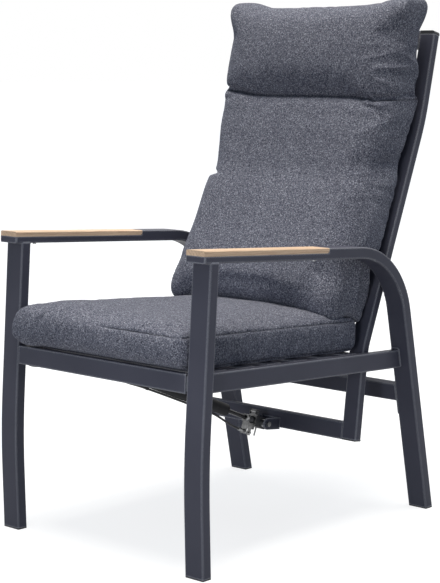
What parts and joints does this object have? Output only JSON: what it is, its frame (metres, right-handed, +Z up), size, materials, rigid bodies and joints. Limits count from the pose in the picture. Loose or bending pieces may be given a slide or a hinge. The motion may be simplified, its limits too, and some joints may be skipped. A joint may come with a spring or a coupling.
{
  "type": "reclining garden armchair",
  "caption": "High-backed garden armchair with a bent tubular metal frame, wooden arm pads, thick cushions and a back that reclines against a lockable gas spring.",
  "frame": {"origin": "on the floor, at the middle of the chair's overall width and depth with its back upright", "axes": "+Z up, the chair faces -Y, the sitter's left is +X"},
  "size_m": [0.608, 0.8568, 1.1462],
  "materials": {
    "anthracite_paint": "fine satin powder coat in blue-tinged anthracite",
    "teak": "light oiled hardwood with fine straight grain",
    "black_plastic": "matt black moulded plastic",
    "zinc_steel": "bright zinc-plated steel",
    "dark_steel": "dark nitrided steel, smooth",
    "black_steel": "black painted steel",
    "cast_head": "black painted cast metal, slightly rough",
    "black_sheath": "smooth black cable sheath",
    "cushion_fabric": "woven grey-blue melange outdoor fabric with sewn channels"
  },
  "bodies": {
    "frame": {"side_tube_left": "anthracite_paint", "side_tube_right": "anthracite_paint", "front_leg_left": "anthracite_paint", "front_leg_right": "anthracite_paint", "front_rail": "anthracite_paint", "front_rail_spacers": "anthracite_paint", "side_rail_left": "anthracite_paint", "side_rail_right": "anthracite_paint", "rail_end_plates": "anthracite_paint", "rear_stretcher": "anthracite_paint", "stretcher_end_plates": "anthracite_paint", "seat_slats": "anthracite_paint", "spring_front_bracket": "anthracite_paint", "arm_end_caps": "anthracite_paint", "arm_pad_left": "teak", "arm_pad_right": "teak", "front_foot_caps": "black_plastic", "rear_foot_caps": "black_plastic", "cable_clips": "black_plastic", "arm_pad_screws": "zinc_steel", "stretcher_bolts": "zinc_steel", "spring_front_pin": "zinc_steel", "pivot_bolts": "zinc_steel", "pivot_inserts": "zinc_steel", "release_bar_pin": "zinc_steel", "release_bar_wire": "zinc_steel", "release_cable_run": "black_sheath", "cable_grommet": "black_sheath", "seat_cushion": "cushion_fabric"},
    "back": {"back_stile_left": "anthracite_paint", "back_stile_right": "anthracite_paint", "back_top_bar": "anthracite_paint", "back_slats": "anthracite_paint", "back_bottom_bar": "anthracite_paint", "spring_rear_bracket": "anthracite_paint", "stile_top_caps": "black_plastic", "lower_arm_caps": "black_plastic", "pivot_bushes": "black_plastic", "spring_rear_bolt": "zinc_steel", "bracket_sleeves": "zinc_steel", "back_cushion": "cushion_fabric", "cushion_straps": "cushion_fabric"},
    "gas_rod": {"gas_rod": "dark_steel", "gas_piston": "zinc_steel", "gas_lock_nut": "zinc_steel", "blade_pin": "zinc_steel", "head_stud": "zinc_steel", "cable_stop": "zinc_steel", "cable_adjuster": "zinc_steel", "release_wire": "zinc_steel", "release_head": "cast_head"},
    "gas_cylinder": {"gas_cylinder_tube": "black_steel", "gas_cylinder_eye": "black_steel", "gas_cylinder_guide": "black_plastic", "cable_ties": "black_plastic", "release_cable_loop": "black_sheath"},
    "release_bar": {"release_bar": "anthracite_paint"},
    "release_blade": {"release_blade": "zinc_steel", "wire_nipple": "zinc_steel"}
  },
  "joints": [
    {"name": "recline", "type": "hinge", "parent": "frame", "child": "back", "pos_m": [0, 0.16428, 0.36314], "axis": [-1, 0, 0], "range_deg": [0, 20]},
    {"name": "head_swing", "type": "hinge", "parent": "back", "child": "gas_rod", "pos_m": [0, 0.08971, 0.19816], "axis": [1, 0, 0], "range_deg": [0, 21.6]},
    {"name": "gas_slide", "type": "slide", "parent": "gas_rod", "child": "gas_cylinder", "axis": [0, 0.9245, -0.3812], "range_m": [0, 0.0625], "deforming": ["release_cable_loop"]},
    {"name": "bar_press", "type": "hinge", "parent": "frame", "child": "release_bar", "pos_m": [-0.279, -0.11677, 0.62238], "axis": [-1, 0, 0], "range_deg": [0, 1.6], "stiffness_Nm_per_rad": 1, "springref_deg": -2.86},
    {"name": "blade_pull", "type": "hinge", "parent": "gas_rod", "child": "release_blade", "pos_m": [0, 0.0746, 0.2271], "axis": [-1, 0, 0], "range_deg": [0, 8.1]}
  ],
  "couplings": [
    {"joint": "head_swing", "follows": "recline", "ratio": 1.073},
    {"joint": "gas_slide", "follows": "recline", "m_per_rad": 0.177},
    {"joint": "blade_pull", "follows": "bar_press", "ratio": 5}
  ]
}
